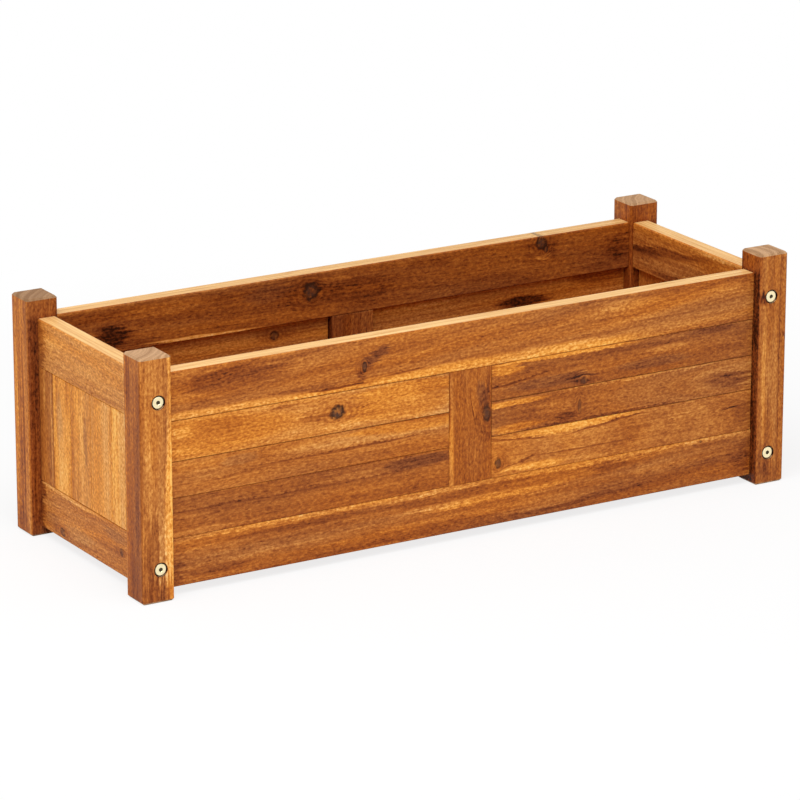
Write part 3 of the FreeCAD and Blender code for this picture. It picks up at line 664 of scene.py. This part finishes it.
# The boards that show most, listed one by one. plain_board finds looks for the others.
BOARDS = {
    "front_top_rail": dict(
        axes=ALONG_X, top=TOPLIGHT_SHARE, tone=0.44, seed=3, seam=0.2, contrast=0.85, figure=0.10,
        pith=(240.0, -175.0), tilt=(0.03, -0.05),
        patches=(
            (-290, 180, 190, 8, 0.28, 0.0, 0.15), (40, 180, 215, 12, 0.33, 0.0, 0.15),
            (-272, 213, 80, 14, -0.18), (-330, 205, 18, 25, 0.08),
            (-112.5, 208.5, 17, 10, -0.20, 0.55, -0.25), (-128, 190, 5, 10, -0.20),
            (-150, 183.5, 38, 1.8, -0.34), (-75, 188, 34, 1.6, -0.22, 0.06),
            (-55, 205, 40, 1.6, 0.10, 0.31), (215, 188, 120, 5, 0.08), (195, 219, 50, 6, 0.12),
            (309, 219, 30, 6, 0.11), (-188, 186, 50, 5, -0.12), (220, 215, 150, 9, 0.06),
        ),
        knots=((-123.6, 200.4, 4.6, 0.5, 0.9),),
    ),
    "front_bottom_rail": dict(
        axes=ALONG_X, tone=0.43, seed=11, seam=0.08, contrast=0.72, figure=0.16, pith=(130.0, -60.0),
        tilt=(0.02, 0.05),
        patches=(
            (60, 57, 430, 6, 0.20), (-265, 57, 110, 5, 0.10), (-190, 48, 150, 4, -0.11),
            (20, 38.5, 140, 6, 0.20), (-302, 40, 42, 12, 0.07), (0, 16, 390, 9, -0.07),
            (168, 47, 26, 6, -0.14), (235, 36, 60, 9, 0.08), (-340, 22, 14, 20, -0.14),
            (335, 30, 16, 22, -0.12), (-290, 22, 45, 8, -0.15), (-36, 53, 60, 4, 0.11),
            (298, 52, 35, 5, -0.11), (75, 23, 95, 9, 0.11), (-115, 45, 42, 7, 0.10),
        ),
        knots=((282, 56, 1.2, 1.0, 0.8),),
    ),
    "front_left_top_board": dict(
        axes=ALONG_X, tone=0.58, seed=5, seam=0.55, contrast=0.6, figure=0.09, pith=(158.0, -165.0),
        tilt=(0.0, -0.06),
        patches=(
            (-285, 166, 38, 12, -0.08), (-90, 165, 55, 18, 0.06), (-217, 173.5, 16, 2.6, -0.22),
            (-182, 157, 24, 4, -0.16), (-322, 145, 22, 7, 0.10), (-60, 141, 70, 3, 0.08),
            (-125, 160, 2.5, 1.2, -0.30), (-328, 165, 20, 9, 0.17), (-146, 145, 40, 5, 0.12),
            (-43, 165, 24, 10, -0.07), (-80, 155, 75, 20, -0.02, 0.0, 0.20),
            (-66, 171, 85, 10, -0.03, 0.0, 0.32),
        ),
        knots=((-154.5, 158, 6.6, 1.15, 1.0),),
    ),
    "front_left_middle_board": dict(
        axes=ALONG_X, tone=0.485, seed=8, seam=0.42, contrast=0.5, figure=0.06, pith=(20.0, 50.0),
        patches=(
            (-110, 129, 150, 9, 0.19), (-310, 129, 60, 8, 0.10), (-265, 128, 28, 7, -0.02, 0.0, -0.25),
            (-160, 119.5, 130, 1.6, -0.20, 0.01), (-265, 115, 50, 1.6, -0.12, 0.06),
            (-190, 107, 220, 8, -0.03), (-72, 133, 85, 10, -0.04, 0.0, 0.36),
        ),
    ),
    "front_left_low_board": dict(
        axes=ALONG_X, tone=0.39, seed=14, seam=0.15, contrast=0.55, figure=0.06, pith=(30.0, 70.0),
        patches=(
            (-62, 93, 48, 8, -0.17, 0.0, -0.30), (-200, 86.5, 210, 2.0, -0.14), (-310, 64, 75, 4, 0.13),
            (-325, 81, 34, 1.8, 0.15), (-170, 76, 100, 6, 0.07), (-60, 64, 90, 4, -0.06),
            (-130, 90, 50, 7, 0.09),
        ),
    ),
    "front_right_top_board": dict(
        axes=ALONG_X, tone=0.395, seed=21, hue=-0.12, seam=0.35, contrast=0.55, figure=0.05,
        pith=(100.0, 60.0), tilt=(0.03, 0.0),
        patches=(
            (40, 172, 26, 8, 0.27, 0.0, 0.40), (112, 177.5, 110, 2.6, 0.35, 0.0, 0.35),
            (52, 158, 45, 1.6, -0.22, 0.12), (95, 152, 60, 8, -0.10, 0.0, -0.30),
            (195, 172, 90, 4, -0.07), (240, 165, 36, 4, 0.20), (296, 176, 34, 5, -0.18, 0.0, -0.35),
            (300, 152, 45, 8, -0.09), (220, 152, 60, 8, -0.10, 0.0, -0.30),
            (124, 151, 20, 9, -0.12, 0.0, -0.25),
        ),
        knots=((136, 145, 3.4, 1.2, 0.6),),
    ),
    "front_right_middle_board": dict(
        axes=ALONG_X, tone=0.45, seed=26, hue=-0.08, seam=0.5, contrast=0.8, figure=0.08,
        pith=(122.0, -170.0), tilt=(0.0, 0.10),
        patches=(
            (55, 136, 50, 4, 0.25, 0.0, 0.35), (115, 111, 16, 6, -0.18),
            (316, 119, 30, 12, -0.20, 0.0, -0.30), (180, 104.5, 160, 1.8, -0.16),
            (200, 139, 140, 1.8, 0.18), (57, 110, 40, 5, 0.16, 0.0, 0.30), (286, 123, 45, 8, -0.10),
            (330, 112, 18, 8, -0.10), (102, 124, 30, 9, 0.10),
        ),
        knots=((131, 119, 6.5, 0.32, 0.45),),
    ),
    "front_right_low_board": dict(
        axes=ALONG_X, tone=0.53, seed=31, seam=0.28, contrast=0.6, figure=0.07, pith=(80.0, -160.0),
        tilt=(0.0, -0.15),
        patches=(
            (130, 100, 95, 5.5, 0.20, 0.02, 0.20), (60, 96, 45, 1.6, -0.26, -0.10),
            (165, 95.5, 62, 1.5, -0.26, 0.08), (185, 80, 34, 14, -0.10), (78, 64, 45, 5, 0.19, 0.0, 0.20),
            (62, 72, 24, 1.5, -0.24, 0.22), (125, 74, 60, 1.5, -0.18), (316, 87, 7, 1.4, -0.36),
            (334, 80, 14, 16, -0.12), (53, 63, 25, 4, 0.09), (264, 92, 32, 8, 0.09),
            (160, 70, 30, 7, -0.09),
        ),
        knots=((33, 74, 5.2, 0.62, 0.85),),
    ),
    "front_centre_stile": dict(
        axes=UPRIGHT_FRONT, tone=0.41, seed=37, seam=0.12, contrast=0.32, figure=0.05, pith=(5.0, -165.0),
        tilt=(0.0, 0.12),
        patches=(
            (88, -23.5, 64, 4.5, 0.22), (155, -22, 36, 2, 0.09), (152, 14, 16, 9, -0.10, 0.0, -0.25),
            (136, 3, 18, 1.5, -0.24, -0.25), (117, 12, 9, 1.5, -0.24, -0.9),
        ),
        knots=((130, 19, 4.4, 1.8, 0.85),),
    ),
    "post_front_left": dict(
        axes=UPRIGHT_FRONT, recessed={"+x": 1.0, "+y": 1.0, "-x": 0.25}, tone=0.50, seed=41, contrast=1.0,
        figure=0.10, pith=(-395.0, -90.0), tilt=(0.02, 0.0), holes=True, seam=0.0, wear_and_gleam=0.04,
        patches=(
            (190, -344, 150, 9, 0.27, 0.0, 0.25), (75, -346, 120, 13, 0.27, 0.0, 0.25),
            (40, -351, 60, 13, 0.14), (15, -374, 50, 9, -0.10), (52, -367, 45, 9, -0.17),
            (165, -373, 40, 5, 0.10), (55, -355, 25, 6, -0.10), (150, -378, 110, 5, -0.03),
            (110, -366, 70, 2.2, -0.07), (128, -371, 52, 8, 0.08), (8, -358, 22, 21, -0.25, 0.0, 0.10),
        ),
        side_patches=(
            (150, -134, 120, 5, -0.08), (75, -111, 60, 6, -0.08), (222, -112, 38, 7, -0.16),
            (80, -130, 40, 6, -0.09),
        ),
    ),
    "post_front_right": dict(
        axes=UPRIGHT_FRONT, recessed={"-x": 1.35, "+y": 1.0}, tone=0.45, seed=47, contrast=0.9, hue=-0.05,
        pith=(300.0, -120.0), holes=True, seam=0.0, wear_and_gleam=0.04,
        patches=(
            (204, 351, 8, 7, -0.40, 0.0, 0.30), (125, 346.5, 140, 3, 0.07), (120, 353, 62, 6, 0.11),
            (25, 352, 22, 7, -0.15), (164, 377, 3.5, 4, -0.30), (130, 371, 125, 1.6, -0.16),
            (60, 352, 60, 3, 0.08), (135, 359.5, 62, 4, 0.08), (10, 362, 18, 16, -0.10),
            (112, 364, 65, 12, 0.05, 0.0, -0.10),
        ),
    ),
    "post_back_left": dict(
        axes=UPRIGHT_FRONT, recessed={"+x": 1.0, "-y": 1.0}, tone=0.46, seed=53, contrast=0.95,
        pith=(-300.0, 60.0), stain=0.38, holes=True, seam=0.0, wear_and_gleam=0.04,
        side_patches=(
            (120, 131, 130, 5, 0.15), (110, 116, 120, 3, -0.18), (60, 121, 70, 3, -0.13),
            (21, 125, 25, 8, -0.10), (225, 111, 30, 6, -0.08), (10, 121, 20, 14, -0.10),
        ),
    ),
    "post_back_right": dict(
        axes=UPRIGHT_FRONT, recessed={"-x": 0.65, "-y": 0.65}, tone=0.4, seed=59, contrast=0.8,
        pith=(420.0, 80.0), holes=True, seam=0.0, wear_and_gleam=0.04,
    ),
    "left_end_top_rail": dict(
        axes=ALONG_Y, top=0.80, tone=0.66, seed=61, hue=-0.03, seam=0.25, contrast=0.45, figure=0.06,
        pith=(150.0, -420.0),
        patches=((104, 204, 20, 45, -0.27), (-20, 184, 90, 4, -0.06), (60, 213, 40, 7, 0.05)),
    ),
    "left_end_bottom_rail": dict(
        axes=ALONG_Y, tone=0.535, seed=67, hue=-0.02, seam=0.05, contrast=0.7, figure=0.10,
        pith=(120.0, -420.0), tilt=(-0.12, 0.0),
        patches=(
            (40, 57, 80, 3, 0.20), (104, 34, 10, 45, -0.30), (-60, 47, 30, 8, -0.06, 0.0, -0.25),
            (-46, 31, 40, 8, -0.08), (80, 23, 24, 9, -0.11, 0.0, -0.15),
            (20, 23, 40, 9, 0.02, 0.0, -0.22),
        ),
        knots=((57, 17, 3.6, 1.3, 0.7), (-70, 33, 3.4, 1.0, 0.7)),
    ),
    "left_end_board_1": dict(
        axes=UPRIGHT_END, tone=0.46, seed=71, contrast=0.7, seam=SOFT_SEAM, pith=(150.0, -340.0),
        patches=((110, 103, 90, 5, -0.12), (150, 92, 40, 3, 0.06), (120, 77, 80, 1.6, 0.16)),
    ),
    "left_end_board_2": dict(
        axes=UPRIGHT_END, tone=0.67, seed=73, hue=0.3, contrast=1.1, seam=SOFT_SEAM, pith=(0.0, -330.0),
        patches=(
            (100, 43, 70, 6, 0.14), (140, 72, 60, 1.6, 0.20), (135, 60, 35, 9, -0.08, 0.0, -0.25),
            (75, 55, 30, 6, 0.08), (168, 59, 25, 8, -0.10), (77, 45, 35, 7, 0.09), (141, 39, 35, 4, 0.07),
        ),
    ),
    "left_end_board_3": dict(
        axes=UPRIGHT_END, tone=0.67, seed=79, hue=0.08, contrast=0.6, seam=SOFT_SEAM, pith=(60.0, -330.0),
        patches=(
            (105, 31, 90, 5, -0.10), (125, 3, 32, 5, -0.14, 0.0, -0.20), (150, 18, 30, 6, 0.06),
            (72, 18, 25, 7, -0.08), (136, 10, 30, 4, 0.07),
        ),
    ),
    "left_end_board_4": dict(
        axes=UPRIGHT_END, tone=0.73, seed=83, hue=0.08, contrast=0.5, seam=SOFT_SEAM, pith=(20.0, -330.0),
        patches=((150, -50, 40, 2, -0.12), (160, -28, 20, 8, 0.06)),
    ),
    "left_end_board_5": dict(
        axes=UPRIGHT_END, tone=0.76, seed=89, hue=0.06, contrast=0.9, seam=SOFT_SEAM,
        pith=(-120.0, -330.0),
        patches=((120, -57, 70, 2, 0.10), (110, -66, 60, 4, -0.05), (166, -60, 30, 5, 0.08)),
    ),
    "right_end_top_rail": dict(
        axes=ALONG_Y, top=0.86, tone=0.50, seed=113, contrast=0.7, figure=0.08, pith=(150.0, 420.0),
        patches=(
            (40, 210, 110, 6, -0.22, -0.125), (80, 203, 40, 8, -0.12), (-60, 226, 60, 2.5, 0.20),
            (20, 196, 70, 7, 0.08), (20, 183, 60, 5, -0.20),
        ),
    ),
    "back_top_rail": dict(
        axes=ALONG_X, top=0.80, tone=0.36, seed=97, contrast=0.7, figure=0.06, pith=(170.0, 150.0),
        tilt=(0.02, 0.06),
        patches=(
            (-285, 197, 34, 12, -0.20), (-283, 196, 22, 16, -0.17), (10, 205, 50, 20, -0.10),
            (330, 205, 22, 20, -0.14), (-150, 190, 60, 3, 0.06), (233, 208, 9, 6, 0.20),
            (-222, 217, 64, 9, 0.14), (-100, 214, 32, 12, -0.07, 0.0, -0.20),
            (-178, 181, 88, 3.0, 0.44, -0.015), (-20, 219, 25, 5, 0.10), (95, 218, 35, 6, -0.09),
            (-255, 187, 40, 6, -0.08), (301, 187, 30, 6, -0.09), (12, 187, 40, 5, -0.07),
        ),
        knots=((-50.5, 209.5, 8.5, 1.0, 1.0), (233, 222, 6.5, 0.85, 1.0), (239, 214, 3.4, 0.7, 0.9)),
    ),
    "back_right_top_board": dict(
        axes=ALONG_X, tone=0.56, seed=103, contrast=0.9, pith=(260.0, 140.0),
        patches=((-160, 165, 70, 12, 0.08), (-60, 170, 30, 16, -0.06)),
        knots=((-90, 166, 4.4, 1.1, 0.9),),
    ),
    "back_left_top_board": dict(
        axes=ALONG_X, tone=0.55, seed=107, contrast=0.9, pith=(60.0, 140.0),
        # The last patch is a painted shadow under the back rail.
        patches=((215, 157, 40, 8, -0.40), (80, 172, 60, 5, 0.10), (315, 174, 50, 12, -0.24)),
    ),
    "back_centre_stile": dict(
        axes=UPRIGHT_FRONT, recessed={"-x": 1.0, "+x": 1.0}, tone=0.3, seed=109, contrast=0.8,
        pith=(60.0, 150.0),
    ),
}

# The grain of the other pieces, by a word in their names. The first that fits counts.
GRAIN_BY_WORD = {
    "floor_slat": ACROSS_FLOOR,
    "_end_board": UPRIGHT_END,
    "stile": UPRIGHT_FRONT,
    "_end_": ALONG_Y,
    "": ALONG_X,
}
# Their marks, as shares of the piece: half length, half width, lighter or darker, and slope.
PALE_EDGE = (0.35, 0.16, 0.24, 0.0)
DARK_STREAK = (0.25, 0.06, -0.18, 0.0)
DARK_CLOUD = (0.18, 0.10, -0.12, 0.02)
# A knot's size, stretch and strength, its place across the piece, and the chance above which there is one.
CHANCE_KNOT = (4.5, 1.2, 0.85)
KNOT_ACROSS = 0.4
KNOT_CHANCE = 0.7
# The ranges from which chance takes the rest.
KNOT_ALONG_RANGE = (0.2, 0.8)
STREAK_ACROSS_RANGE = (0.25, 0.75)
TONE_RANGE = (0.38, 0.58)
SEED_RANGE = (101, 151)
CONTRAST_RANGE = (0.6, 0.9)
PITH_V_RANGE = (-200, 200)
PITH_W_RANGE = (-150, 150)
TILT_RANGE = (-0.02, 0.02)
GOLDEN_SHARE = 0.6180339887


def seeded(name):
    """A number from 0 to 1 that belongs to a name."""
    return sum((place + 1) * ord(letter) for place, letter in enumerate(name)) * GOLDEN_SHARE % 1.0


def between(low, high, share):
    """The value at this share of the way from low to high."""
    return low + (high - low) * share


def plain_board(name):
    """Looks of a piece that the table leaves to chance, drawn from its name."""
    chance, other = seeded(name), seeded(name[::-1])
    axes = next(axes for word, axes in GRAIN_BY_WORD.items() if word in name)
    low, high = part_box(name)
    reach = {axis: (low[i] / MM, (high[i] - low[i]) / MM) for i, axis in enumerate("xyz")}
    (start, long), (edge, wide) = reach[axes[0]], reach[axes[1]]

    def spot(along, across):
        return start + long * along, edge + wide * across

    def mark(along, across, kind):
        half_u, half_v, amount, slope = kind
        return *spot(along, across), long * half_u, wide * half_v, amount, slope

    patches = (
        mark(chance, round(other), PALE_EDGE),
        mark(other, between(*STREAK_ACROSS_RANGE, chance), DARK_STREAK),
        mark(1.0 - chance, other, DARK_CLOUD),
    )
    knot = (*spot(between(*KNOT_ALONG_RANGE, other), KNOT_ACROSS), *CHANCE_KNOT)
    return dict(
        axes=axes,
        top=TOPLIGHT_SHARE if "top_rail" in name else 0.0,
        tone=between(*TONE_RANGE, chance),
        seed=between(*SEED_RANGE, other),
        contrast=between(*CONTRAST_RANGE, other),
        pith=(between(*PITH_V_RANGE, chance), between(*PITH_W_RANGE, other)),
        tilt=(between(*TILT_RANGE, chance), 0.0),
        patches=patches,
        knots=(knot,) if chance > KNOT_CHANCE else (),
    )


# A bolt from the middle of its socket outwards, over the crowned head and down the shank to the tip: the
# radius of each ring and its depth below the head's face. The socket's rings are hexagons, with half the
# width across flats.
SOCKET_RINGS = ((2.0, 1.9), (2.0, 0.2), (2.25, 0.0))
SOCKET_FLOOR = 2.3
SHANK_RADIUS = 3.0
HEAD_RINGS = (
    (3.0, 0.0), (4.2, 0.06), (5.2, 0.2), (5.8, 0.45), (6.15, 0.8), (6.3, 1.25), (6.3, 2.4),
    (SHANK_RADIUS, 2.4),
)
TIP_RADIUS = 2.3
TIP_TAPER = 0.8
RING_POINTS = 48


def bolt_rings(tip):
    """The rings of one bolt: radius as a function of the angle, and depth."""
    def hexagon(half_width):
        sixth = math.tau / 6
        return lambda turn: half_width / math.cos((turn + sixth / 2) % sixth - sixth / 2)

    rings = [(hexagon(half_width), depth) for half_width, depth in SOCKET_RINGS]
    for radius, depth in (*HEAD_RINGS, (SHANK_RADIUS, tip - TIP_TAPER), (TIP_RADIUS, tip)):
        rings.append((lambda turn, radius=radius: radius, depth))
    return rings


def bolts_mesh(tip):
    """All eight bolts as one mesh of closed shells."""
    points, faces = [], []
    rings = bolt_rings(tip)
    spots = [(x, z, side) for x in (-BOLT_ALONG, BOLT_ALONG) for z in BOLT_HEIGHTS for side in (-1, 1)]
    for x, z, side in spots:
        first = len(points)
        for radius, depth in rings:
            for step in range(RING_POINTS):
                turn = math.tau * step / RING_POINTS
                off_x, off_z = radius(turn) * math.cos(turn), radius(turn) * math.sin(turn)
                points.append((x + off_x, side * (HEAD_FACE - depth), z + off_z))
        start, end = len(points), len(points) + 1
        points.append((x, side * (HEAD_FACE - SOCKET_FLOOR), z))
        points.append((x, side * (HEAD_FACE - tip), z))
        shell = []
        for step in range(RING_POINTS):
            after = (step + 1) % RING_POINTS
            for ring in range(len(rings) - 1):
                near, far = first + ring * RING_POINTS, first + (ring + 1) * RING_POINTS
                shell.append((near + step, near + after, far + after, far + step))
            last = first + (len(rings) - 1) * RING_POINTS
            shell.append((start, first + after, first + step))
            shell.append((end, last + step, last + after))
        faces += shell if side > 0 else [face[::-1] for face in shell]
    mesh = bpy.data.meshes.new("post_bolts_turned")
    mesh.from_pydata([[part * MM for part in point] for point in points], [], faces)
    mesh.update()
    return mesh


for name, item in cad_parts.items():
    if name in ("post_bolts", "rail_threaded_inserts"):
        material = plated_metal(f"{name}_plating")
    else:
        material = timber(f"{name}_timber", **(BOARDS.get(name) or plain_board(name)))
    item.data.materials.clear()
    item.data.materials.append(material)

# The bolts again with crowned heads and sockets, as long as the CAD ones.
cad_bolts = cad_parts["post_bolts"]
front_reach = max(point.co.y for point in cad_bolts.data.vertices if point.co.y < 0)
turned_bolts = bpy.data.objects.new("post_bolts_turned", bolts_mesh(HEAD_FACE + front_reach / MM))
turned_bolts.data.materials.append(cad_bolts.data.materials[0])
scene.collection.objects.link(turned_bolts)
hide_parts("post_bolts")
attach(turned_bolts, "root")

# Pins that hold each floor slat to its two bearers: where they stand across, and their heads' profile of
# radius and height above the slat.
PIN_ACROSS = 96.0
PIN_RINGS = ((1.3, 0.42), (1.9, 0.26), (2.2, 0.0), (2.2, -0.3))
PIN_POINTS = 20


def pins_mesh():
    """Small domed heads, two on each slat, let into its upper face."""
    points, faces = [], []
    for name in sorted(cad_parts):
        if not name.startswith("floor_slat"):
            continue
        low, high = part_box(name)
        middle, top = (low[0] + high[0]) / 2, high[2]
        for side in (-1, 1):
            first = len(points)
            for radius, rise in PIN_RINGS:
                for step in range(PIN_POINTS):
                    turn = math.tau * step / PIN_POINTS
                    x, y = radius * math.cos(turn), radius * math.sin(turn) + side * PIN_ACROSS
                    points.append((middle + x * MM, y * MM, top + rise * MM))
            for ring in range(len(PIN_RINGS) - 1):
                near, far = first + ring * PIN_POINTS, first + (ring + 1) * PIN_POINTS
                for step in range(PIN_POINTS):
                    after = (step + 1) % PIN_POINTS
                    faces.append((near + step, far + step, far + after, near + after))
            faces.append(tuple(range(first, first + PIN_POINTS)))
            faces.append(tuple(reversed(range(len(points) - PIN_POINTS, len(points)))))
    mesh = bpy.data.meshes.new("floor_slat_pins")
    mesh.from_pydata(points, [], faces)
    mesh.update()
    return mesh


pins = bpy.data.objects.new("floor_slat_pins", pins_mesh())
pins.data.materials.append(brushed_metal("pin_metal"))
scene.collection.objects.link(pins)
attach(pins, "root")


def seen_directly(net):
    """1 where the view is direct, in a reflection or through glass, and 0 for the light on the object."""
    path = net.node("ShaderNodeLightPath")
    flags = [path.outputs[label] for label in ("Is Camera Ray", "Is Glossy Ray", "Is Transmission Ray")]
    return net.math("MINIMUM", net.add(*flags), 1.0)


# The floor, in metres: pale paper, mostly white to the eye near the planter, where it keeps the shadow, and
# all white further off.
FLOOR_HALF = 12.0
FLOOR_SHADE = (0.86, 0.86, 0.86, 1.0)
FLOOR_WHITE = 0.80
SHADOW_REACH = (0.45, 1.0)

floor_mesh = bpy.data.meshes.new("studio_floor")
corners = [(FLOOR_HALF * x, FLOOR_HALF * y, 0.0) for x, y in ((-1, -1), (1, -1), (1, 1), (-1, 1))]
floor_mesh.from_pydata(corners, [], [(0, 1, 2, 3)])
floor = bpy.data.objects.new("studio_floor", floor_mesh)
scene.collection.objects.link(floor)
paper = bpy.data.materials.new("studio_paper")
net = empty_net(paper)
matt = net.node("ShaderNodeBsdfDiffuse", FLOOR_SHADE).outputs[0]
white = net.node("ShaderNodeEmission", WHITE, 1.0).outputs[0]
spot = net.node("ShaderNodeTexCoord").outputs["Object"]
away = net.node("ShaderNodeVectorMath", spot, operation="LENGTH").outputs["Value"]
whiteness = net.plus_times(FLOOR_WHITE, net.smooth(away, *SHADOW_REACH), 1.0 - FLOOR_WHITE)
mixed = net.node("ShaderNodeMixShader", net.times(seen_directly(net), whiteness), matt, white).outputs[0]
net.node("ShaderNodeOutputMaterial", mixed)
floor_mesh.materials.append(paper)

# The world: white to the eye, and this strong as light on the planter.
SKY_LEVEL = 0.50

scene.view_settings.view_transform = "Standard"
world = bpy.data.worlds.new("studio")
scene.world = world
net = empty_net(world)
level = net.plus_times(SKY_LEVEL, seen_directly(net), 1.0 - SKY_LEVEL)
sky = net.node("ShaderNodeBackground", WHITE, level).outputs[0]
net.node("ShaderNodeOutputWorld", sky)

# One large square lamp hangs above, to the front left. Places are in metres and its power is in watts.
LAMP_PLACE = (-0.87, -1.03, 2.67)
LAMP_TARGET = (0.0, 0.0, 0.1)
LAMP_SIZE = 2.4
LAMP_POWER = 75.0

softbox = bpy.data.lights.new("overhead_softbox", "AREA")
softbox.size = LAMP_SIZE
softbox.energy = LAMP_POWER
lamp = bpy.data.objects.new("overhead_softbox", softbox)
lamp.location = LAMP_PLACE
aim = Vector([there - here for here, there in zip(LAMP_PLACE, LAMP_TARGET)])
lamp.rotation_euler = aim.to_track_quat("-Z", "Y").to_euler()
scene.collection.objects.link(lamp)

# The camera stands to the front left, a little above the planter: its place in metres, its turn and its
# downward look in degrees, and its lens in millimetres.
CAMERA_PLACE = (-2.3461, -3.9068, 1.5333)
CAMERA_TURN = -30.914
CAMERA_DOWN = 17.317
CAMERA_LENS = 208.62
CAMERA_SENSOR = 36.0

view = bpy.data.cameras.new("photo_camera")
view.sensor_width = CAMERA_SENSOR
view.lens = CAMERA_LENS
camera = bpy.data.objects.new("photo_camera", view)
camera.location = CAMERA_PLACE
camera.rotation_euler = (math.radians(90 - CAMERA_DOWN), 0, math.radians(CAMERA_TURN))
scene.collection.objects.link(camera)
scene.camera = camera
